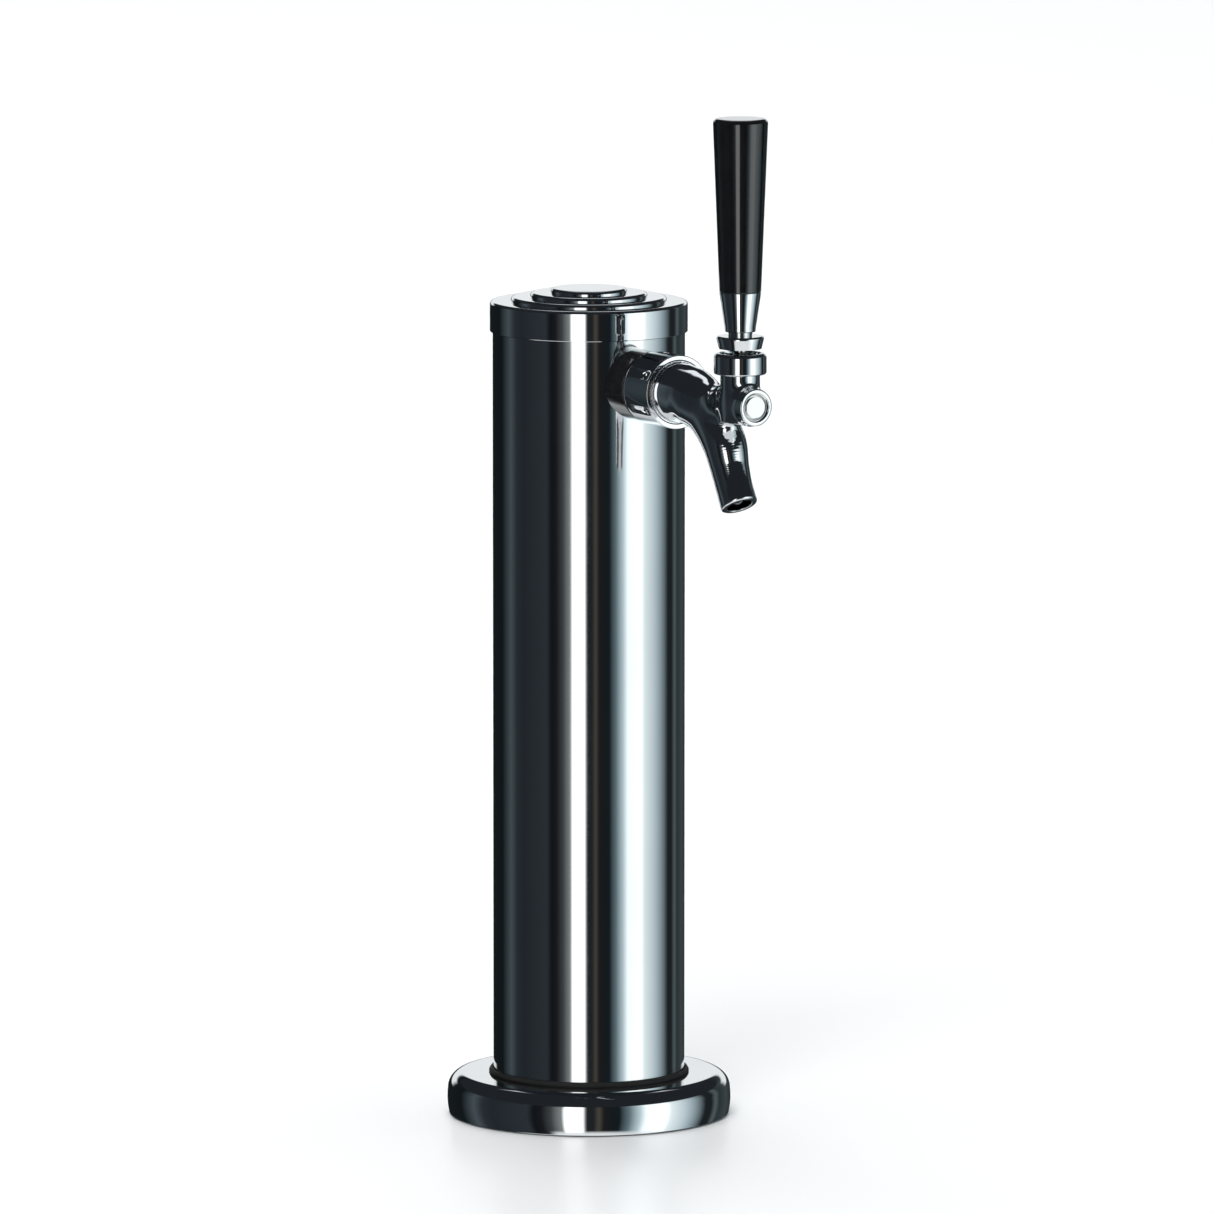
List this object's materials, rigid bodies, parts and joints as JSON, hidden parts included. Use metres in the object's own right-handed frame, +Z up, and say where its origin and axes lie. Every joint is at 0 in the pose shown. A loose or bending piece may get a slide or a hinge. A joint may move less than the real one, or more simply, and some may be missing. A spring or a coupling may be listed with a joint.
{
  "type": "beer tap tower",
  "caption": "Round polished draft beer column with a covered base flange, a stepped slip-over cap and a lever faucet on a shank through its wall.",
  "frame": {"origin": "centre of the base on its underside, where it stands on the worktop", "axes": "+Z up along the column, the faucet points toward -Y, the handle is upright when the valve is closed"},
  "size_m": [0.113, 0.1825, 0.408],
  "materials": {
    "column_steel": "polished stainless steel with a very fine grain round the column",
    "cover_chrome": "bright chrome plate",
    "cap_chrome": "bright chrome plate",
    "nut_chrome": "bright chrome plate",
    "faucet_chrome": "bright chrome plate on a cast body",
    "bonnet_chrome": "bright chrome plate",
    "lever_collar_chrome": "bright chrome plate",
    "ferrule_chrome": "bright chrome plate",
    "shaft_steel": "turned stainless steel",
    "lever_steel": "turned stainless steel",
    "tube_steel": "drawn stainless steel",
    "plated_steel": "zinc plated steel",
    "plated_brass": "nickel plated brass",
    "brass": "turned brass",
    "grip_plastic": "glossy moulded black plastic",
    "collar_plastic": "satin moulded black plastic",
    "seal_rubber": "matt black rubber",
    "black_rubber": "matt black rubber",
    "white_nylon": "natural nylon",
    "foam": "closed cell foam"
  },
  "bodies": {
    "root": {"base_gasket": "black_rubber", "mounting_flange": "plated_steel", "column_tube": "column_steel", "insulation_sleeve": "foam", "shank": "plated_brass", "shank_collar": "collar_plastic", "shank_shoulder_ring": "plated_brass", "inner_saddle_washer": "plated_steel", "shank_lock_nut": "plated_steel", "tail_washer": "white_nylon", "tail_nut": "plated_brass", "beer_tube": "tube_steel", "coupling_nut": "nut_chrome", "coupling_washer": "white_nylon", "faucet_body": "faucet_chrome", "ball_seat_washer": "white_nylon", "friction_washer": "white_nylon", "lever_bonnet": "bonnet_chrome"},
    "lever": {"lever": "lever_steel", "lever_collar": "lever_collar_chrome", "handle_ferrule": "ferrule_chrome", "handle_insert": "brass", "handle_grip": "grip_plastic"},
    "shaft": {"faucet_shaft": "shaft_steel", "shaft_seat_washer": "black_rubber", "shaft_seat_nut": "plated_brass"},
    "cover": {"base_cover": "cover_chrome", "cover_seal_ring": "seal_rubber"},
    "cap": {"top_cap": "cap_chrome", "cap_seal_ring": "black_rubber"}
  },
  "joints": [
    {"name": "lever_pull", "type": "hinge", "parent": "root", "child": "lever", "pos_m": [0, -0.114, 0.31], "axis": [1, 0, 0], "range_deg": [0, 35]},
    {"name": "shaft_travel", "type": "slide", "parent": "root", "child": "shaft", "axis": [0, 1, 0], "range_m": [0, 0.008]},
    {"name": "cover_lift", "type": "slide", "parent": "root", "child": "cover", "axis": [0, 0, 1], "range_m": [0, 0.25]},
    {"name": "cap_lift", "type": "slide", "parent": "root", "child": "cap", "axis": [0, 0, 1], "range_m": [0, 0.04]}
  ],
  "couplings": [
    {"joint": "shaft_travel", "follows": "lever_pull", "m_per_rad": 0.0129}
  ]
}
